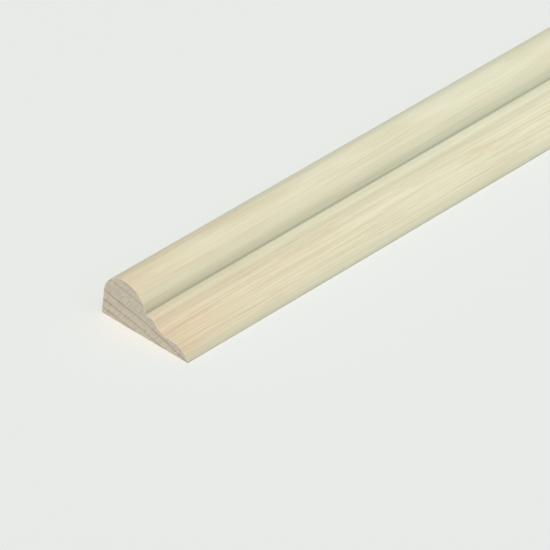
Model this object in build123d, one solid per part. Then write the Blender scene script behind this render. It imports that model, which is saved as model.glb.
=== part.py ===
from build123d import *
from math import asin, cos, degrees, radians, sin, sqrt
import os

# Ogee moulding: one length of planed softwood, lying on its flat back.
# X runs along the length, Y points to the thick back edge and Z is up.
# The origin is the centre of the flat back. Millimetres and degrees.

# The stick
length = 2400.0
thickness = 12.6  # flat back to the crown of the bead

# The bead, a half-round over the thick edge
bead_radius = 6.9
back_edge_lean = 7.0  # the back edge leans in from upright and runs into the bead

# The shoulder, a narrow flat between the bead and the hollow
shoulder_height = 6.55  # flat back to shoulder
shoulder_width = 2.3  # foot of the bead to the shoulder's edge
shoulder_edge_round = 0.7

# The hollow, and the thin flat at its foot
cove_radius = 5.9
web_thickness = 3.5  # the thinnest wood, under the foot of the hollow
web_width = 1.2

# The nose, which turns down to the sharp front edge
nose_radius = 5.1

# Across the section: distances are from the bottom corner of the back edge
bead_rise = thickness - bead_radius
bead_setback = (bead_radius + bead_rise * sin(radians(back_edge_lean))) / cos(radians(back_edge_lean))
bead_foot_angle = degrees(asin((shoulder_height - bead_rise) / bead_radius))
bead_foot = bead_setback + bead_radius * cos(radians(bead_foot_angle))

cove_rise = web_thickness + cove_radius
cove_edge_angle = 180.0 + degrees(asin((cove_rise - shoulder_height) / cove_radius))
cove_setback = bead_foot + shoulder_width - cove_radius * cos(radians(cove_edge_angle))

nose_rise = web_thickness - nose_radius
nose_setback = cove_setback + web_width
front_edge_angle = degrees(asin(-nose_rise / nose_radius))
width = nose_setback + nose_radius * cos(radians(front_edge_angle))


def section():
    """The moulding's section: x from the back edge to the front, y up from the flat back."""
    bead = CenterArc(
        (bead_setback, bead_rise), bead_radius, bead_foot_angle, 180.0 - back_edge_lean - bead_foot_angle
    )
    cove = CenterArc((cove_setback, cove_rise), cove_radius, cove_edge_angle, 270.0 - cove_edge_angle)
    nose = CenterArc((nose_setback, nose_rise), nose_radius, front_edge_angle, 90.0 - front_edge_angle)
    back_edge = Line((0, 0), bead @ 1)
    shoulder = Line(bead @ 0, cove @ 0)
    web = Line(cove @ 1, nose @ 1)
    flat_back = Line(nose @ 0, (0, 0))
    outline = make_face([back_edge, bead, shoulder, cove, web, nose, flat_back])
    shoulder_edge = outline.vertices().sort_by_distance(cove @ 0)[0]
    return fillet(shoulder_edge, shoulder_edge_round)


def moulding():
    """The section run along the whole length, sawn square at both ends."""
    far_end = Plane(origin=(length / 2, width / 2, 0), x_dir=(0, -1, 0), z_dir=(-1, 0, 0))
    return extrude(far_end * section(), amount=length)


os.makedirs("parts", exist_ok=True)
export_step(moulding(), "parts/ogee_moulding.step")
print(f"ogee moulding {length:g} x {width:.2f} x {thickness:g} mm")
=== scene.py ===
from math import asin, cos, dist, pi, radians, sin, sqrt

import bpy
from bpy.props import FloatProperty, FloatVectorProperty, IntProperty, PointerProperty
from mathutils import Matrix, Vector


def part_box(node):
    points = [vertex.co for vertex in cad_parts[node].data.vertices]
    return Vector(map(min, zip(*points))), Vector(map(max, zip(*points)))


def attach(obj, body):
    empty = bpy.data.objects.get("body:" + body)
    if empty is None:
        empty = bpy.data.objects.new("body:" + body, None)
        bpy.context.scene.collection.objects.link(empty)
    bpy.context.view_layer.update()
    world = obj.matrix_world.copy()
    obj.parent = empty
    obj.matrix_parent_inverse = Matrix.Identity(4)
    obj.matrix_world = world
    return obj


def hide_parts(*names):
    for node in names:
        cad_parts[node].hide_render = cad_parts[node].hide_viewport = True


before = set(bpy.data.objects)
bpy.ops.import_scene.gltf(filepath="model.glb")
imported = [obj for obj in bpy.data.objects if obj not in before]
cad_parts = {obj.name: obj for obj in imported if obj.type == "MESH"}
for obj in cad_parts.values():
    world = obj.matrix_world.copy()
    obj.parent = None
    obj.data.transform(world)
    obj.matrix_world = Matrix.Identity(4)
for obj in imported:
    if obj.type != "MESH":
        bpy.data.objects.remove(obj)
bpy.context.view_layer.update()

bl_info = {
    "name": "Ogee Moulding",
    "version": (1, 0, 0),
    "blender": (4, 5, 0),
    "location": "View3D > Sidebar > Moulding",
    "description": "Runs a length of planed pine ogee moulding and lights it on a pale floor",
    "category": "Object",
}

# The moulding lies on its flat back. X runs along it, Y points to the thick
# back edge and Z is up. Across the section, places are given as the distance
# from the heel, which is the bottom corner of the back edge, and the height.
# Metres and radians, and millimetres inside the pine's shader nodes.

NODE = "ogee_moulding"
LOW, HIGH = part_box(NODE)
MM = 1000.0
ROUNDING = 1e-6  # the stick is this much short, so that rounding never takes it past the CAD box


class MouldingSizes(bpy.types.PropertyGroup):
    """The stick and the members of its section."""

    length: FloatProperty(
        name="Length",
        description="Length of the stick",
        default=HIGH.x - LOW.x,
        unit="LENGTH",
    )
    thickness: FloatProperty(
        name="Thickness",
        description="Flat back to the crown of the bead",
        default=HIGH.z - LOW.z,
        unit="LENGTH",
    )
    bead_radius: FloatProperty(
        name="Bead Radius",
        description="Radius of the half-round over the thick edge",
        default=0.0069,
        unit="LENGTH",
    )
    back_edge_lean: FloatProperty(
        name="Back Edge Lean",
        description="How far the back edge leans in from upright",
        default=radians(7),
        subtype="ANGLE",
    )
    shoulder_height: FloatProperty(
        name="Shoulder Height",
        description="Flat back to the shoulder",
        default=0.00655,
        unit="LENGTH",
    )
    shoulder_width: FloatProperty(
        name="Shoulder Width",
        description="Foot of the bead to the shoulder's edge",
        default=0.0023,
        unit="LENGTH",
    )
    shoulder_edge_round: FloatProperty(
        name="Shoulder Edge Round",
        description="Radius where the shoulder turns over into the hollow",
        default=0.0007,
        unit="LENGTH",
    )
    cove_radius: FloatProperty(
        name="Cove Radius",
        description="Radius of the hollow",
        default=0.0059,
        unit="LENGTH",
    )
    web_thickness: FloatProperty(
        name="Web Thickness",
        description="The thinnest wood, under the foot of the hollow",
        default=0.0035,
        unit="LENGTH",
    )
    web_width: FloatProperty(
        name="Web Width",
        description="The thin flat between the hollow and the nose",
        default=0.0012,
        unit="LENGTH",
    )
    nose_radius: FloatProperty(
        name="Nose Radius",
        description="Radius that turns down to the sharp front edge",
        default=0.0051,
        unit="LENGTH",
    )
    arris_ease: FloatProperty(
        name="Arris Ease",
        description="How much handling has taken off the two bottom corners",
        default=0.00012,
        unit="LENGTH",
    )
    saw_ease: FloatProperty(
        name="Sawn Edge Ease",
        description="How much is taken off round each sawn end",
        default=0.00008,
        unit="LENGTH",
    )
    runs: IntProperty(
        name="Runs",
        description="How many runs the length is divided into, a multiple of the strips on the map",
        default=12,
        min=3,
    )


class PineLooks(bpy.types.PropertyGroup):
    """The colours and the growth of the pine."""

    spring_wood: FloatVectorProperty(
        name="Spring Wood",
        description="Pale wood between the ring lines on the planed faces",
        default=(0.770, 0.761, 0.577),
        subtype="COLOR",
        size=3,
    )
    summer_wood: FloatVectorProperty(
        name="Summer Wood",
        description="Ring lines on the planed faces",
        default=(0.672, 0.627, 0.430),
        subtype="COLOR",
        size=3,
    )
    blushed_spring_wood: FloatVectorProperty(
        name="Blushed Spring Wood",
        description="Pale wood near the sawn ends",
        default=(0.728, 0.634, 0.444),
        subtype="COLOR",
        size=3,
    )
    blushed_summer_wood: FloatVectorProperty(
        name="Blushed Summer Wood",
        description="Lines near the sawn ends",
        default=(0.645, 0.485, 0.322),
        subtype="COLOR",
        size=3,
    )
    blush_reach: FloatProperty(
        name="Blush Reach",
        description="How far in from a sawn end the warm tone fades",
        default=0.050,
        unit="LENGTH",
    )
    # Painted shade: how much the inner corner at the bead's foot and the shoulder beside it are darkened, as
    # shade falling there, with some real dust too
    quirk_shade_and_dust: FloatProperty(
        name="Quirk Dust",
        description="Share of the wood that dust hides in the inner corner; it hides less beside there",
        default=0.46,
        subtype="FACTOR",
    )
    # Painted shade: a cool grey-green that darkens the quirk, the shoulder beside it and the toe, standing
    # in for shade mixed with a little dust
    shade_and_dust: FloatVectorProperty(
        name="Shade and Dust",
        description="Colour of the dust",
        default=(0.355, 0.440, 0.372),
        subtype="COLOR",
        size=3,
    )
    saw_marks: FloatProperty(
        name="Saw Marks",
        description="Lean of the marks that the saw left on the ends",
        default=radians(50),
        subtype="ANGLE",
    )
    sawn_spring_wood: FloatVectorProperty(
        name="Sawn Spring Wood",
        description="Wood between the ring lines on a sawn end",
        default=(0.745, 0.700, 0.560),
        subtype="COLOR",
        size=3,
    )
    sawn_summer_wood: FloatVectorProperty(
        name="Sawn Summer Wood",
        description="Ring lines on a sawn end",
        default=(0.535, 0.398, 0.305),
        subtype="COLOR",
        size=3,
    )
    heel_ring: FloatProperty(
        name="Heel Ring",
        description="Radius of the growth ring that passes through the heel",
        default=0.1332,
        unit="LENGTH",
    )
    pith_turn: FloatProperty(
        name="Pith Turn",
        description="How far behind the heel the pith lies, as an angle from straight below it",
        default=radians(8.2),
        subtype="ANGLE",
    )


class StudioLooks(bpy.types.PropertyGroup):
    """The floor, the lights and the camera."""

    floor_colour: FloatVectorProperty(
        name="Floor",
        description="Colour that is seen of the floor and of what lies behind it",
        default=(0.807, 0.823, 0.799),
        subtype="COLOR",
        size=3,
    )
    floor_bounce: FloatVectorProperty(
        name="Floor Bounce",
        description="Colour that the floor gives to the light it throws back up at the stick",
        default=(0.380, 0.390, 0.380),
        subtype="COLOR",
        size=3,
    )
    floor_size: FloatProperty(
        name="Floor Size",
        description="Side of the square floor",
        default=120.0,
        unit="LENGTH",
    )
    sky_light: FloatProperty(
        name="Sky Light",
        description="Strength of the light from above, where it is brightest",
        default=0.475,
    )
    side_light: FloatProperty(
        name="Side Light",
        description="Strength of the light from the sides, where that from above has faded out",
        default=0.12,
    )
    sky_top: FloatVectorProperty(
        name="Sky Top",
        description="Where the light from above is brightest; a right angle away, only side light is left",
        default=(0.0, -0.15, 0.99),
        subtype="DIRECTION",
        size=3,
    )
    sky_tint: FloatVectorProperty(
        name="Sky Tint",
        description="Colour of the light from above, a little cool",
        default=(0.69, 1.02, 1.19),
        subtype="COLOR",
        size=3,
        soft_max=2.0,
    )
    key_light: FloatProperty(
        name="Key Light",
        description="Light of the overhead key, as a share of a full level",
        default=0.796,
    )
    key_tint: FloatVectorProperty(
        name="Key Tint",
        description="Colour of the key light, a little warm",
        default=(1.14, 0.98, 0.89),
        subtype="COLOR",
        size=3,
        soft_max=2.0,
    )
    key_softness: FloatProperty(
        name="Key Softness",
        description="How wide the key light looks from the floor",
        default=radians(32),
        subtype="ANGLE",
    )
    key_direction: FloatVectorProperty(
        name="Key Direction",
        description="Which way the key light shines",
        default=(0.48, 0.29, -0.83),
        subtype="DIRECTION",
        size=3,
    )
    camera_place: FloatVectorProperty(
        name="Camera Place",
        description="Where the camera stands",
        default=(-1.93745, -0.77247, 0.77835),
        subtype="TRANSLATION",
        size=3,
    )
    camera_aim: FloatVectorProperty(
        name="Camera Aim",
        description="The spot on the floor at the middle of the picture",
        default=(-1.16179, -0.00382, 0.0),
        subtype="TRANSLATION",
        size=3,
    )
    focal_length: FloatProperty(
        name="Focal Length",
        description="Lens of the camera, for a 36 mm wide picture",
        default=380.945,
        unit="CAMERA",
    )


# Node helpers

COLUMN_WIDTH = 240.0  # how far apart the nodes are set out
ROW_HEIGHT = 260.0


def give(tree, socket, feed):
    """Links a socket to another one, or sets its value."""
    if isinstance(feed, bpy.types.NodeSocket):
        tree.links.new(feed, socket)
    else:
        socket.default_value = feed


def add_node(tree, kind, title, feeds=None, **settings):
    """Adds a titled node, with what its settings and its inputs are given."""
    node = tree.nodes.new(kind)
    node.name = title
    node.label = title
    for setting, value in settings.items():
        setattr(node, setting, value)
    for socket, feed in (feeds or {}).items():
        give(tree, node.inputs[socket], feed)
    return node


def reckon(tree, title, operation, *feeds):
    """Adds a Math node and returns its result."""
    node = add_node(tree, "ShaderNodeMath", title, dict(enumerate(feeds)), operation=operation)
    return node.outputs[0]


def reckon_vector(tree, title, operation, *feeds, output="Vector"):
    """Adds a Vector Math node and returns its vector, or its value where the result is one number."""
    node = add_node(tree, "ShaderNodeVectorMath", title, dict(enumerate(feeds)), operation=operation)
    return node.outputs[output]


def map_place(tree, title, place, **changes):
    """Adds a Mapping node, which scales a place, turns it and then shifts it, and returns the new place."""
    return add_node(tree, "ShaderNodeMapping", title, {"Vector": place, **changes}).outputs[0]


def split_place(tree, title, place):
    """Adds a Separate XYZ node and returns its three numbers."""
    return add_node(tree, "ShaderNodeSeparateXYZ", title, {0: place}).outputs


def as_colour(feed):
    """A colour property as the four numbers that a node takes. A socket stays as it is."""
    return feed if isinstance(feed, bpy.types.NodeSocket) else (*feed, 1.0)


def mix_colours(tree, title, share, first, second, way="MIX"):
    """Mixes two colours by a share and returns the result."""
    # A Mix node has sockets for each kind of data: inputs 6 and 7 and output 2 are colours
    feeds = {0: share, 6: as_colour(first), 7: as_colour(second)}
    node = add_node(tree, "ShaderNodeMix", title, feeds, data_type="RGBA", blend_type=way)
    return node.outputs[2]


def shade_colour(tree, title, colour, light):
    """Makes a colour lighter or darker by a number near 1, and returns the result."""
    grey = add_node(tree, "ShaderNodeCombineColor", title + ", grey", {0: light, 1: light, 2: light})
    return mix_colours(tree, title, 1.0, colour, grey.outputs[0], "MULTIPLY")


def spread(tree, title, value, low, high, new_low=0.0, new_high=1.0):
    """Maps a value from one range to another and holds it there."""
    feeds = {"Value": value, "From Min": low, "From Max": high, "To Min": new_low, "To Max": new_high}
    return add_node(tree, "ShaderNodeMapRange", title, feeds).outputs["Result"]


def noise(tree, title, place, size, start=(0.0, 0.0, 0.0), detail=2.0, roughness=0.5, output="Fac"):
    """Noise whose spots are as long in x, y and z as size says. Start picks the stretch of it to use."""
    scale = tuple(1.0 / length for length in size)
    scaled = map_place(tree, title + " place", place, Scale=scale, Location=start)
    feeds = {"Vector": scaled, "Scale": 1.0, "Detail": detail, "Roughness": roughness}
    return add_node(tree, "ShaderNodeTexNoise", title, feeds).outputs[output]


def arrange(tree):
    """Sets the nodes out in columns, each to the right of all that feeds it."""
    column = {}

    def column_of(node):
        if node.name not in column:
            feeders = [link.from_node for socket in node.inputs for link in socket.links]
            column[node.name] = 1 + max((column_of(feeder) for feeder in feeders), default=-1)
        return column[node.name]

    filled = {}
    for node in tree.nodes:
        across = column_of(node)
        node.location = (COLUMN_WIDTH * across, -ROW_HEIGHT * filled.get(across, 0))
        filled[across] = filled.get(across, 0) + 1


# The pine

# A place in the growth is given in millimetres: along the stick, round the pith,
# and the depth, which is how far it lies outside the ring through the heel.
WAVE_LENGTH = (60.0, 7.0, 9.0)  # how long the slow waves of the grain are
WAVE_START = (33.2, 1.7, 6.1)  # a start picks the stretch of the noise, as a number of its spots
WAVE_HEIGHT = (0.0, 3.0, 0.6)  # how far the waves push the grain aside
LAYER_SIZE = (80.0, 0.5, 0.09)  # a size is how long the spots of the noise are
FIBRE_SIZE = (14.0, 0.28, 0.28)
TONE_SIZE = (30.0, 5.0, 2.5)
TONE_START = (7.3, 2.1, 4.2)
RAY_SIZE = (400.0, 0.16, 3.0)
FIGURE_SIZE = (36.0, 2.4, 0.35)
FIGURE_START = (3.1, 0.7, 5.9)
OUTER_DEPTH = (9.0, 9.8)  # the depths between which the outer rings begin, with fainter marks
OUTER_MARKING = 0.4  # how clear the marks are there, as a share

# The ring lines from the inner rings outwards, as the sawn end in the photo shows them:
# the depth, how strong the line is, and how far before it the wood starts to darken.
RING_LINES = (
    (-1.0, 0.9, 0.9),
    (2.0, 1.0, 0.9),
    (4.4, 1.0, 0.9),
    (7.05, 1.0, 0.9),
    (8.02, 0.6, 0.2),
    (8.68, 0.5, 0.1),
    (9.15, 0.55, 0.2),
    (11.15, 0.7, 0.6),
    (13.1, 0.6, 0.6),
    (15.3, 0.9, 0.9),
)
RING_SPAN = (-3.0, 17.0)  # the depths that the lines are drawn between
RING_FALL = 0.2  # how far past its line the wood is pale again


def pine_growth(looks):
    """The node group for how the pine grew, which every face of the stick cuts through.

    It takes object coordinates and gives masks: the summer wood of the rings,
    the thin layers that follow them, the fine fibres along the grain, a slow
    change of tone, the rays that run out from the pith, how clearly the wood
    is marked, which is less in its outer rings, and the soft figure there.
    """
    tree = bpy.data.node_groups.new("Pine growth", "ShaderNodeTree")
    sockets = tree.interface
    sockets.new_socket("Place", in_out="INPUT", socket_type="NodeSocketVector")
    for name in ("Summer Wood", "Layers", "Fibres", "Tone", "Rays", "Marking", "Figure"):
        sockets.new_socket(name, in_out="OUTPUT", socket_type="NodeSocketFloat")
    entry = add_node(tree, "NodeGroupInput", "Place in")

    straight = straight_grain(tree, entry.outputs["Place"], looks)
    growth = waved_grain(tree, straight)
    depth = split_place(tree, "Depth in the rings", growth)[2]
    share = spread(tree, "Depth as a share", depth, *RING_SPAN)
    rings = add_node(tree, "ShaderNodeValToRGB", "Ring lines", {"Fac": share})
    draw_ring_lines(rings.color_ramp)

    streaks = noise(tree, "Figure", growth, FIGURE_SIZE, FIGURE_START, detail=1.0)
    streaks = spread(tree, "Figure streaks", streaks, 0.50, 0.60)
    outside = spread(tree, "Outer rings", depth, *OUTER_DEPTH)
    masks = {
        "Summer Wood": rings.outputs["Color"],
        "Layers": noise(tree, "Layers", growth, LAYER_SIZE, detail=3.0, roughness=0.8),
        "Fibres": noise(tree, "Fibres", growth, FIBRE_SIZE, roughness=0.6),
        "Tone": noise(tree, "Tone", growth, TONE_SIZE, TONE_START),
        "Rays": noise(tree, "Rays", growth, RAY_SIZE, roughness=0.6),
        "Marking": spread(tree, "Marking", depth, *OUTER_DEPTH, 1.0, OUTER_MARKING),
        "Figure": reckon(tree, "Figure of the outer rings", "MULTIPLY", streaks, outside),
    }
    add_node(tree, "NodeGroupOutput", "Masks out", masks)
    arrange(tree)
    return tree


def straight_grain(tree, place, looks):
    """Turns a place on the stick into a place in the growth, as if the tree had grown quite straight."""
    pith_y, pith_z = pith_place(looks)
    shift = (0.0, -pith_y, -pith_z)
    from_pith = map_place(tree, "From the pith, in millimetres", place, Scale=(MM, MM, MM), Location=shift)
    along, level, height = split_place(tree, "Along and across", from_pith)
    squares = reckon(tree, "Height squared", "MULTIPLY", height, height)
    squares = reckon(tree, "Squares", "MULTIPLY_ADD", level, level, squares)
    radius = reckon(tree, "Radius", "SQRT", squares)
    heel_ring = looks.heel_ring * MM
    depth = reckon(tree, "Out from the ring through the heel", "SUBTRACT", radius, heel_ring)
    angle = reckon(tree, "Angle round the pith", "ARCTAN2", level, height)
    across = reckon(tree, "Round the pith", "MULTIPLY", angle, heel_ring)
    feeds = {0: along, 1: across, 2: depth}
    return add_node(tree, "ShaderNodeCombineXYZ", "Straight grain", feeds).outputs[0]


def waved_grain(tree, straight):
    """Moves a place in the growth aside by the slow waves of the grain."""
    wave = noise(tree, "Wave", straight, WAVE_LENGTH, WAVE_START, detail=1.0, roughness=0.4, output="Color")
    centred = reckon_vector(tree, "Wave, centred", "SUBTRACT", wave, (0.5, 0.5, 0.5))
    return reckon_vector(tree, "Waved grain", "MULTIPLY_ADD", centred, WAVE_HEIGHT, straight)


def pith_place(looks):
    """Where the pith of the tree lies, below and behind the stick: its y and z, in millimetres."""
    out = looks.heel_ring * MM
    y = HIGH.y * MM + out * sin(looks.pith_turn)
    z = -out * cos(looks.pith_turn)
    return y, z


def draw_ring_lines(ramp):
    """Draws each ring: the wood darkens slowly outwards to its line, and is pale again just past it."""
    low, high = RING_SPAN
    ramp.interpolation = "EASE"
    # A new ramp has two stops. One goes, and the other is where the wood starts pale
    ramp.elements.remove(ramp.elements[1])
    ramp.elements[0].position = 0.0
    ramp.elements[0].color = (0.0, 0.0, 0.0, 1.0)
    for line, strength, rise in RING_LINES:
        for place, value in ((line - rise, 0.0), (line, strength), (line + RING_FALL, 0.0)):
            stop = ramp.elements.new((place - low) / (high - low))
            stop.color = (value, value, value, 1.0)


def start_material(name):
    """A new material with only a Principled BSDF and its output."""
    material = bpy.data.materials.new(name)
    material.use_nodes = True
    tree = material.node_tree
    tree.nodes.clear()
    shader = add_node(tree, "ShaderNodeBsdfPrincipled", "Shader")
    add_node(tree, "ShaderNodeOutputMaterial", "Surface", {"Surface": shader.outputs[0]})
    return material, tree, shader


def place_growth(tree, growth):
    """Puts the growth group in a material. Returns the place on the stick that it reads, and its masks."""
    place = add_node(tree, "ShaderNodeTexCoord", "Stick").outputs["Object"]
    group = add_node(tree, "ShaderNodeGroup", "Growth", {"Place": place}, node_tree=growth)
    return place, group.outputs


def finish_wood(tree, shader, colour, roughness, gloss, relief, depth):
    """Feeds the shader its colour, roughness, gloss, and relief of a depth in metres."""
    give(tree, shader.inputs["Base Color"], colour)
    give(tree, shader.inputs["Roughness"], roughness)
    shader.inputs["Specular IOR Level"].default_value = gloss
    feeds = {"Height": relief, "Distance": depth, "Strength": 0.5}
    bump = add_node(tree, "ShaderNodeBump", "Bump", feeds)
    give(tree, shader.inputs["Normal"], bump.outputs[0])
    arrange(tree)


# How the growth shows on the faces. The reaches in the functions below are in millimetres.
CLOSE_BLUSH = 0.15  # the share of the blush that stays close to the sawn end
CLOSE_FADE = 8.0  # how many times faster than the rest that share fades
FOOT_RISE = 0.0005  # how far above the foot of the bead the painted shade and dust are strongest, in metres
LAYER_SHARE = 0.80  # how much line wood a thin layer shows on the planed faces
RING_SHARE = 0.55  # how much a ring line shows there
FIGURE_SHARE = 0.28  # how much the soft figure shows there
PLANED_RELIEF = 0.00002  # how deep the grain is, in metres
SAWN_RELIEF = 0.00005


def away_from(tree, title, place, line):
    """How far a place is, in millimetres, from a line that runs along the stick."""
    y, z = line
    shift = (0.0, -y * MM, -z * MM)
    across = map_place(tree, title + ", across", place, Scale=(0.0, MM, MM), Location=shift)
    return reckon_vector(tree, title, "LENGTH", across, output="Value")


def end_blush(tree, place, reach):
    """How near a place is to a sawn end: 1 at the end, fading fast at first and then over this reach."""
    along = split_place(tree, "Along the stick", place)[0]
    past_middle = reckon(tree, "Past the middle", "ABSOLUTE", along)
    inwards = reckon(tree, "In from the end", "SUBTRACT", HIGH.x, past_middle)
    fading = reckon(tree, "In reaches", "DIVIDE", inwards, -reach)
    wide = reckon(tree, "Wide blush", "EXPONENT", fading)
    close = reckon(tree, "Close to the end", "POWER", wide, CLOSE_FADE)
    wide = reckon(tree, "Most of the wide blush", "MULTIPLY", wide, 1.0 - CLOSE_BLUSH)
    return reckon(tree, "Blush", "MULTIPLY_ADD", close, CLOSE_BLUSH, wide)


def planed_blush(tree, place, looks, section, clear):
    """The blush by the sawn ends, which is less by the toe and on the bead's flank."""
    from_flank = away_from(tree, "From the bead's flank", place, section.flank)
    off_flank = spread(tree, "Off the bead's flank", from_flank, 0.5, 4.5, 0.5, 1.0)
    blush = end_blush(tree, place, looks.blush_reach)
    blush = reckon(tree, "Blush, less by the toe", "MULTIPLY", blush, clear)
    return reckon(tree, "Blush, less on the flank", "MULTIPLY", blush, off_flank)


def line_wood(tree, masks, clear):
    """How much of a place is line wood: by its layers and rings, its warm patches and its figure."""
    layers = spread(tree, "Layer lines", masks["Layers"], 0.51, 0.58)
    layers = reckon(tree, "Layer share", "MULTIPLY", layers, LAYER_SHARE)
    lined = reckon(tree, "Layers and rings", "MULTIPLY_ADD", masks["Summer Wood"], RING_SHARE, layers)
    marked = reckon(tree, "Marking, less by the toe", "MULTIPLY", masks["Marking"], clear)
    warm = spread(tree, "Warm patches", masks["Tone"], 0.5, 0.7, 0.0, 0.3)
    share = reckon(tree, "Lines and warm patches", "MULTIPLY_ADD", lined, marked, warm)
    return reckon(tree, "Line wood share", "MULTIPLY_ADD", masks["Figure"], FIGURE_SHARE, share)


def shade_and_dust_mask(tree, place, section, from_toe, most):
    """How much painted shade, with some dust, covers the wood: most in the quirk, some beside it, and a
    little along the toe.
    """
    quirk_y, quirk_z = section.quirk
    from_foot = away_from(tree, "From the foot of the bead", place, (quirk_y, quirk_z + FOOT_RISE))
    # Painted shade in the quirk and on the shoulder beside it, partly real dust
    corner = spread(tree, "In the corner", from_foot, 0.12, 0.40, most, 0.0)
    beside = spread(tree, "Beside the corner", from_foot, 0.3, 2.9, most / 2, 0.0)
    # Painted shade along the toe, which darkens its front edge
    shade_along_toe = spread(tree, "Along the toe", from_toe, 0.1, 1.2, most / 3, 0.0)
    shade_and_dust = reckon(tree, "Dust by the quirk", "ADD", corner, beside)
    return reckon(tree, "Shade and Dust", "ADD", shade_and_dust, shade_along_toe)


def planed_pine(looks, growth, section):
    """The planed faces: pale and matt, with fine wavering lines, warmer by the sawn ends, darkened with
    painted shade and a little dust by the quirk and the toe.
    """
    material, tree, shader = start_material("Planed pine")
    place, masks = place_growth(tree, growth)
    from_toe = away_from(tree, "From the toe", place, section.toe)
    clear = spread(tree, "Clear of the toe", from_toe, 0.8, 2.8, 0.35, 1.0)
    blush = planed_blush(tree, place, looks, section, clear)
    pale = mix_colours(tree, "Pale wood", blush, looks.spring_wood, looks.blushed_spring_wood)
    dark = mix_colours(tree, "Line wood", blush, looks.summer_wood, looks.blushed_summer_wood)
    ringed = mix_colours(tree, "Ringed wood", line_wood(tree, masks, clear), pale, dark)
    light = spread(tree, "Fibre light", masks["Fibres"], 0.3, 0.7, 0.97, 1.02)
    fibred = shade_colour(tree, "Fibred wood", ringed, light)
    # The quirk, the shoulder beside it and the toe get painted shade here, mixed with some dust
    shade_and_dust = shade_and_dust_mask(tree, place, section, from_toe, looks.quirk_shade_and_dust)
    colour = mix_colours(tree, "Shaded, dusty wood", shade_and_dust, fibred, looks.shade_and_dust)

    roughness = spread(tree, "Roughness", masks["Fibres"], 0.2, 0.8, 0.60, 0.75)
    raised = reckon(tree, "Raised fibres", "MULTIPLY_ADD", masks["Summer Wood"], 0.6, masks["Fibres"])
    finish_wood(tree, shader, colour, roughness, 0.25, raised, PLANED_RELIEF)
    return material


def sawn_pine(looks, growth):
    """The sawn ends: greyer and darker, with clear ring lines, and fine saw marks across them."""
    material, tree, shader = start_material("Sawn pine")
    place, masks = place_growth(tree, growth)
    turn = (looks.saw_marks, 0.0, 0.0)
    turned = map_place(tree, "Turned to the saw marks", place, Scale=(MM, MM, MM), Rotation=turn)
    marks = noise(tree, "Saw marks", turned, (400.0, 3.0, 0.24), roughness=0.6)
    pores = noise(tree, "Fibre ends", turned, (400.0, 0.2, 0.2), detail=1.0)

    lines = spread(tree, "Layer lines", masks["Layers"], 0.45, 0.75, 0.0, 0.25)
    patchy = spread(tree, "Patchy", masks["Tone"], 0.3, 0.6, 0.4, 0.8)
    share = reckon(tree, "Summer share", "MULTIPLY_ADD", masks["Summer Wood"], patchy, lines)
    ringed = mix_colours(tree, "Ringed wood", share, looks.sawn_spring_wood, looks.sawn_summer_wood)
    mark_light = spread(tree, "Mark light", marks, 0.3, 0.7, 0.84, 1.13)
    ray_light = spread(tree, "Ray light", masks["Rays"], 0.3, 0.7, 0.96, 1.04)
    pore_light = spread(tree, "Fibre end light", pores, 0.3, 0.7, 0.95, 1.05)
    light = reckon(tree, "Marks and rays", "MULTIPLY", mark_light, ray_light)
    light = reckon(tree, "Light and dark", "MULTIPLY", light, pore_light)
    colour = shade_colour(tree, "Open wood", ringed, light)

    roughness = spread(tree, "Roughness", pores, 0.2, 0.8, 0.78, 0.92)
    torn = reckon(tree, "Marks and fibre ends", "MULTIPLY_ADD", marks, 0.7, pores)
    finish_wood(tree, shader, colour, roughness, 0.2, torn, SAWN_RELIEF)
    return material


# The section and the stick

FLANK_ANGLE = radians(35)  # how far up the bead's front its flank is taken, from level with its centre
BEAD_STEPS = 44  # how many straight steps the bead is drawn in, and then each other round
EDGE_STEPS = 6
COVE_STEPS = 18
NOSE_STEPS = 22
EASE_STEPS = 3
SAME_PLACE = 1e-6  # corners this near to each other are one corner
NEAR_EDGE = 1e-4  # how far from the edges of the flat back its corners may be, to be eased
SMOOTH_ANGLE = radians(40)  # sharper edges than this stay sharp


class Section:
    """Where the members of the section stand, as distances from the heel and heights."""

    def __init__(self, sizes):
        lean = sizes.back_edge_lean
        self.bead_rise = sizes.thickness - sizes.bead_radius
        self.bead_setback = (sizes.bead_radius + self.bead_rise * sin(lean)) / cos(lean)
        bead_foot_angle = asin((sizes.shoulder_height - self.bead_rise) / sizes.bead_radius)
        self.bead_sweep = pi - lean - bead_foot_angle
        self.bead_start = (
            self.bead_setback - sizes.bead_radius * cos(lean),
            self.bead_rise + sizes.bead_radius * sin(lean),
        )
        bead_foot = self.bead_setback + sizes.bead_radius * cos(bead_foot_angle)

        self.cove_rise = sizes.web_thickness + sizes.cove_radius
        cove_edge_angle = asin((self.cove_rise - sizes.shoulder_height) / sizes.cove_radius)
        shoulder_edge = bead_foot + sizes.shoulder_width
        self.cove_setback = shoulder_edge + sizes.cove_radius * cos(cove_edge_angle)

        self.round_rise = sizes.shoulder_height - sizes.shoulder_edge_round
        round_drop = self.cove_rise - self.round_rise
        reach = sizes.cove_radius + sizes.shoulder_edge_round
        self.round_setback = self.cove_setback - sqrt(reach**2 - round_drop**2)
        self.cove_sweep = pi / 2 - asin(round_drop / reach)

        self.nose_rise = sizes.web_thickness - sizes.nose_radius
        self.nose_setback = self.cove_setback + sizes.web_width
        front_edge_angle = asin(-self.nose_rise / sizes.nose_radius)
        self.nose_sweep = pi / 2 - front_edge_angle
        self.width = self.nose_setback + sizes.nose_radius * cos(front_edge_angle)

        # Lines along the stick that its looks keep to, as y and z in the frame
        half_width = self.width / 2
        self.toe = (-half_width, 0.0)
        self.quirk = (half_width - bead_foot, sizes.shoulder_height)
        self.flank = (
            half_width - self.bead_setback - sizes.bead_radius * cos(FLANK_ANGLE),
            self.bead_rise + sizes.bead_radius * sin(FLANK_ANGLE),
        )


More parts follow.
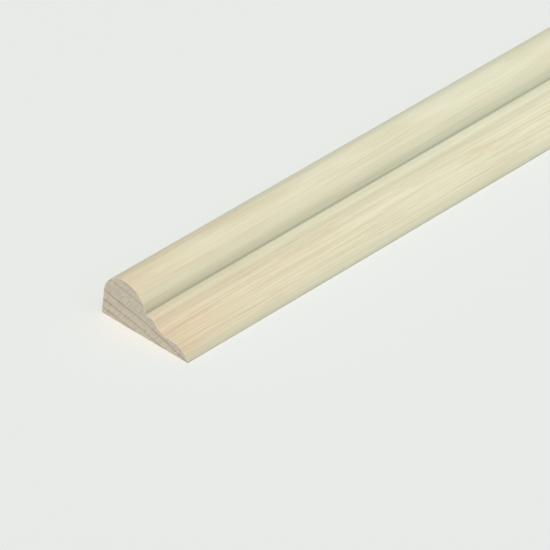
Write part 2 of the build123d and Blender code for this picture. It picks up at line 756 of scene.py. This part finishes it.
class Pen:
    """Draws the section's outline in edit mode, from the heel over the bead to the front edge."""

    def __init__(self, x, width):
        self.x = x
        self.half_width = width / 2
        self.at = (0.0, 0.0)
        bpy.ops.transform.translate(value=self.place(self.at))

    def place(self, spot):
        """A spot of the section, as distance from the heel and height, in the frame."""
        distance, height = spot
        return Vector((self.x, self.half_width - distance, height))

    def line(self, spot):
        """A straight run to a spot."""
        move = self.place(spot) - self.place(self.at)
        bpy.ops.mesh.extrude_vertices_move(TRANSFORM_OT_translate={"value": move})
        self.at = spot

    def arc(self, centre, sweep, steps):
        """A round run about a centre. A positive sweep turns down to the front, a negative one is hollow."""
        bpy.ops.mesh.spin(steps=steps, angle=sweep, center=self.place(centre), axis=(-1, 0, 0))
        across = self.at[0] - centre[0]
        up = self.at[1] - centre[1]
        self.at = (
            centre[0] + across * cos(sweep) + up * sin(sweep),
            centre[1] + up * cos(sweep) - across * sin(sweep),
        )


def pick(mesh, what, test):
    """In edit mode, selects just the vertices or faces that pass a test."""
    bpy.ops.mesh.select_mode(type=what)
    bpy.ops.mesh.select_all(action="DESELECT")
    bpy.ops.object.mode_set(mode="OBJECT")
    items = {"VERT": mesh.vertices, "FACE": mesh.polygons}
    for item in items[what]:
        item.select = test(item)
    bpy.ops.object.mode_set(mode="EDIT")


def draw_section(sizes, near):
    """Draws the section at the near end, starting from a single selected corner, and fills it."""
    members = Section(sizes)
    pen = Pen(near, members.width)
    pen.line(members.bead_start)
    pen.arc((members.bead_setback, members.bead_rise), members.bead_sweep, BEAD_STEPS)
    pen.line((members.round_setback, sizes.shoulder_height))
    pen.arc((members.round_setback, members.round_rise), members.cove_sweep, EDGE_STEPS)
    pen.arc((members.cove_setback, members.cove_rise), -members.cove_sweep, COVE_STEPS)
    pen.line((members.nose_setback, sizes.web_thickness))
    pen.arc((members.nose_setback, members.nose_rise), members.nose_sweep, NOSE_STEPS)
    pen.line((0.0, 0.0))
    bpy.ops.mesh.select_all(action="SELECT")
    bpy.ops.mesh.remove_doubles(threshold=SAME_PLACE)
    bpy.ops.mesh.edge_face_add()


def run_moulding(sizes):
    """The stick: its section, run along the length and sawn square, with its sharp corners eased."""
    # A plane, merged to one corner, is where the drawing starts
    bpy.ops.object.select_all(action="DESELECT")
    bpy.ops.mesh.primitive_plane_add(size=sizes.thickness, location=(0, 0, 0))
    stick = bpy.context.object
    stick.name = "planed_moulding"
    mesh = stick.data
    mesh.name = stick.name
    bpy.ops.object.mode_set(mode="EDIT")
    bpy.ops.mesh.select_mode(type="VERT")
    bpy.ops.mesh.select_all(action="SELECT")
    bpy.ops.mesh.merge(type="CENTER")
    bpy.ops.mesh.select_all(action="SELECT")

    ease = sizes.saw_ease
    near = -sizes.length / 2 + ease
    draw_section(sizes, near)
    edge = HIGH.y - NEAR_EDGE
    pick(mesh, "VERT", lambda corner: corner.co.z < SAME_PLACE and abs(corner.co.y) > edge)
    bpy.ops.mesh.bevel(offset=sizes.arris_ease, segments=EASE_STEPS, affect="VERTICES")

    pick(mesh, "FACE", lambda face: True)
    run = (sizes.length - 2 * ease - ROUNDING) / sizes.runs
    for _ in range(sizes.runs):
        bpy.ops.mesh.extrude_region_move(TRANSFORM_OT_translate={"value": (run, 0, 0)})
    bpy.ops.mesh.select_all(action="SELECT")
    bpy.ops.mesh.normals_make_consistent(inside=False)
    for end in (-1, 1):
        pick(mesh, "FACE", lambda face: at_end(face) and face.center.x * end > 0)
        bpy.ops.mesh.inset(thickness=ease, depth=ease)
    bpy.ops.object.mode_set(mode="OBJECT")
    bpy.ops.object.shade_smooth_by_angle(angle=SMOOTH_ANGLE)
    return stick


def at_end(face):
    """Whether a face belongs to a sawn end, with the eased edge round it."""
    return abs(face.normal.x) > 0.5


# The map of the faces, laid out flat so the pine can be baked onto it

MAP_STRIPS = 3  # how many strips the long faces are cut into along the stick
MAP_END_BAND = 0.235  # how much of the map's height the sawn ends take
MAP_GAP = 0.006  # how far each part of the map stays from its neighbours


def in_section(corner):
    """Where a corner of the mesh stands in the section, the same at every run."""
    return round(corner.y, 7), round(corner.z, 7)


def walk_section(mesh):
    """How far round the section each of its corners lies from the heel, and the whole way round."""
    long_faces = [face for face in mesh.polygons if not at_end(face)]
    near = min(mesh.vertices[index].co.x for face in long_faces for index in face.vertices)
    follow = {}
    for face in long_faces:
        corners = [mesh.vertices[index].co for index in face.vertices]
        for start, end in zip(corners, corners[1:] + corners[:1]):
            if start.x == near and end.x == near:
                follow[in_section(start)] = in_section(end)
    # The heel is the rearmost of the lowest corners
    heel = min(follow, key=lambda place: (place[1], -place[0]))
    around = {heel: 0.0}
    girth = 0.0
    at = heel
    while follow[at] != heel:
        girth += dist(at, follow[at])
        at = follow[at]
        around[at] = girth
    return around, girth + dist(at, heel)


def unroll_long_face(corners, share, around, girth):
    """Map places of a long face's corners. Share is how far along the stick the face's middle lies."""
    strip = int(share * MAP_STRIPS)
    length = (HIGH.x - LOW.x) / MAP_STRIPS
    height = (1.0 - MAP_END_BAND) / MAP_STRIPS
    ways = [around[in_section(corner)] for corner in corners]
    # The face that closes the round ends at the heel a whole way on, not at its start
    if max(ways) - min(ways) > girth / 2:
        ways = [way + girth if way < girth / 2 else way for way in ways]
    places = []
    for corner, way in zip(corners, ways):
        along = (corner.x - LOW.x) / length - strip
        u = MAP_GAP + along * (1.0 - 2 * MAP_GAP)
        v = MAP_END_BAND + strip * height + MAP_GAP / 2 + way / girth * (height - MAP_GAP)
        places.append((u, v))
    return places


def lay_end_face(corners, far):
    """Map places of the corners of a sawn end. The two ends lie side by side, each half a map wide."""
    start = MAP_GAP + (0.5 if far else 0.0)
    scale = (0.5 - 2 * MAP_GAP) / (HIGH.y - LOW.y)
    places = []
    for corner in corners:
        across = corner.y - LOW.y if far else HIGH.y - corner.y
        places.append((start + across * scale, MAP_GAP + corner.z * scale))
    return places


def map_faces(mesh):
    """Lays the faces out flat: the long faces unrolled in strips, and below them the sawn ends."""
    around, girth = walk_section(mesh)
    layer = mesh.uv_layers.new(name="OFBake")
    for face in mesh.polygons:
        corners = [mesh.vertices[index].co for index in face.vertices]
        if at_end(face):
            places = lay_end_face(corners, face.center.x > 0)
        else:
            share = (face.center.x - LOW.x) / (HIGH.x - LOW.x)
            places = unroll_long_face(corners, share, around, girth)
        for loop, place in zip(face.loop_indices, places):
            layer.data[loop].uv = place


# The studio

KEY_DISTANCE = 3.0  # a sun lights alike from anywhere, so this only sets where its mark stands


def seen_directly(tree):
    """1 for what the camera sees, also in gloss or through glass, and 0 for what lights a matt face."""
    path = add_node(tree, "ShaderNodeLightPath", "Seen by").outputs
    seen = reckon(tree, "Camera or gloss", "ADD", path["Is Camera Ray"], path["Is Glossy Ray"])
    return reckon(tree, "Or through glass", "ADD", seen, path["Is Transmission Ray"])


def lay_floor(looks):
    """A plain matt floor that reaches past the edge of every view, and throws back less than it shows."""
    bpy.ops.object.select_all(action="DESELECT")
    bpy.ops.mesh.primitive_plane_add(size=looks.floor_size, location=(0, 0, 0))
    floor = bpy.context.object
    floor.name = "floor"
    material, tree, shader = start_material("Pale floor")
    seen = seen_directly(tree)
    colour = mix_colours(tree, "Seen or thrown back", seen, looks.floor_bounce, looks.floor_colour)
    give(tree, shader.inputs["Base Color"], colour)
    shader.inputs["Roughness"].default_value = 1.0
    shader.inputs["Specular IOR Level"].default_value = 0.0
    arrange(tree)
    floor.data.materials.append(material)


def hang_key(looks):
    """The key light: a wide soft sun from above, before the front edge and the near end."""
    way = Vector(looks.key_direction)
    bpy.ops.object.light_add(type="SUN", location=way * -KEY_DISTANCE)
    key = bpy.context.object
    key.name = "key"
    key.data.energy = looks.key_light * pi  # a sun of strength pi is a full level on a face square to it
    key.data.angle = looks.key_softness
    key.data.color = looks.key_tint
    key.rotation_euler = way.to_track_quat("-Z", "Y").to_euler()


def set_sky(scene, looks):
    """The light from all round, which fades from above to the sides. The camera sees a backdrop instead."""
    world = bpy.data.worlds.new("Studio")
    scene.world = world
    world.use_nodes = True
    tree = world.node_tree
    tree.nodes.clear()
    way = add_node(tree, "ShaderNodeTexCoord", "Way to look").outputs["Generated"]
    top = Vector(looks.sky_top).normalized()
    facing = reckon_vector(tree, "Facing the top", "DOT_PRODUCT", way, top, output="Value")
    strength = spread(tree, "Fading out", facing, 0.0, 1.0, looks.side_light, looks.sky_light)
    light = add_node(tree, "ShaderNodeBackground", "Light", {0: as_colour(looks.sky_tint), 1: strength})
    backdrop = add_node(tree, "ShaderNodeBackground", "Backdrop", {0: as_colour(looks.floor_colour), 1: 1.0})
    feeds = {0: seen_directly(tree), 1: light.outputs[0], 2: backdrop.outputs[0]}
    mix = add_node(tree, "ShaderNodeMixShader", "Light or backdrop", feeds)
    add_node(tree, "ShaderNodeOutputWorld", "World", {"Surface": mix.outputs[0]})
    arrange(tree)


def place_camera(scene, looks):
    """The camera stands at the near end, before the front edge, and looks down along the stick."""
    place = Vector(looks.camera_place)
    aim = Vector(looks.camera_aim)
    bpy.ops.object.camera_add(location=place)
    camera = bpy.context.object
    camera.name = "camera"
    camera.rotation_euler = (aim - place).to_track_quat("-Z", "Y").to_euler()
    camera.data.sensor_width = 36.0
    camera.data.lens = looks.focal_length
    camera.data.clip_start = 0.05
    camera.data.clip_end = 200.0
    scene.camera = camera


# The steps that a user would take


class OGEE_OT_moulding(bpy.types.Operator):
    """Run the moulding to its section and finish it in planed pine"""

    bl_idname = "ogee.moulding"
    bl_label = "Run Moulding"

    def execute(self, context):
        sizes = context.scene.ogee_sizes
        looks = context.scene.ogee_pine
        stick = run_moulding(sizes)
        map_faces(stick.data)
        growth = pine_growth(looks)
        stick.data.materials.append(planed_pine(looks, growth, Section(sizes)))
        stick.data.materials.append(sawn_pine(looks, growth))
        for face in stick.data.polygons:
            face.material_index = int(at_end(face))
        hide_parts(NODE)
        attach(stick, "root")
        return {"FINISHED"}


class OGEE_OT_studio(bpy.types.Operator):
    """Lay the pale floor, hang the soft light and place the camera"""

    bl_idname = "ogee.studio"
    bl_label = "Set Studio"

    def execute(self, context):
        looks = context.scene.ogee_studio
        lay_floor(looks)
        hang_key(looks)
        set_sky(context.scene, looks)
        place_camera(context.scene, looks)
        context.scene.view_settings.view_transform = "Standard"
        return {"FINISHED"}


class VIEW3D_PT_ogee_moulding(bpy.types.Panel):
    """The moulding's sizes, its pine and the studio"""

    bl_label = "Ogee Moulding"
    bl_space_type = "VIEW_3D"
    bl_region_type = "UI"
    bl_category = "Moulding"

    def draw(self, context):
        layout = self.layout
        layout.use_property_split = True
        steps = (
            (context.scene.ogee_sizes, OGEE_OT_moulding),
            (context.scene.ogee_pine, None),
            (context.scene.ogee_studio, OGEE_OT_studio),
        )
        for group, step in steps:
            box = layout.box()
            for name in group.__annotations__:
                box.prop(group, name)
            if step:
                box.operator(step.bl_idname)


CLASSES = (
    MouldingSizes,
    PineLooks,
    StudioLooks,
    OGEE_OT_moulding,
    OGEE_OT_studio,
    VIEW3D_PT_ogee_moulding,
)


def register():
    for cls in CLASSES:
        bpy.utils.register_class(cls)
    bpy.types.Scene.ogee_sizes = PointerProperty(type=MouldingSizes)
    bpy.types.Scene.ogee_pine = PointerProperty(type=PineLooks)
    bpy.types.Scene.ogee_studio = PointerProperty(type=StudioLooks)


def unregister():
    del bpy.types.Scene.ogee_studio
    del bpy.types.Scene.ogee_pine
    del bpy.types.Scene.ogee_sizes
    for cls in reversed(CLASSES):
        bpy.utils.unregister_class(cls)


def main():
    """Registers the classes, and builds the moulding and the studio."""
    register()
    bpy.ops.ogee.moulding()
    bpy.ops.ogee.studio()


if __name__ == "__main__":
    main()
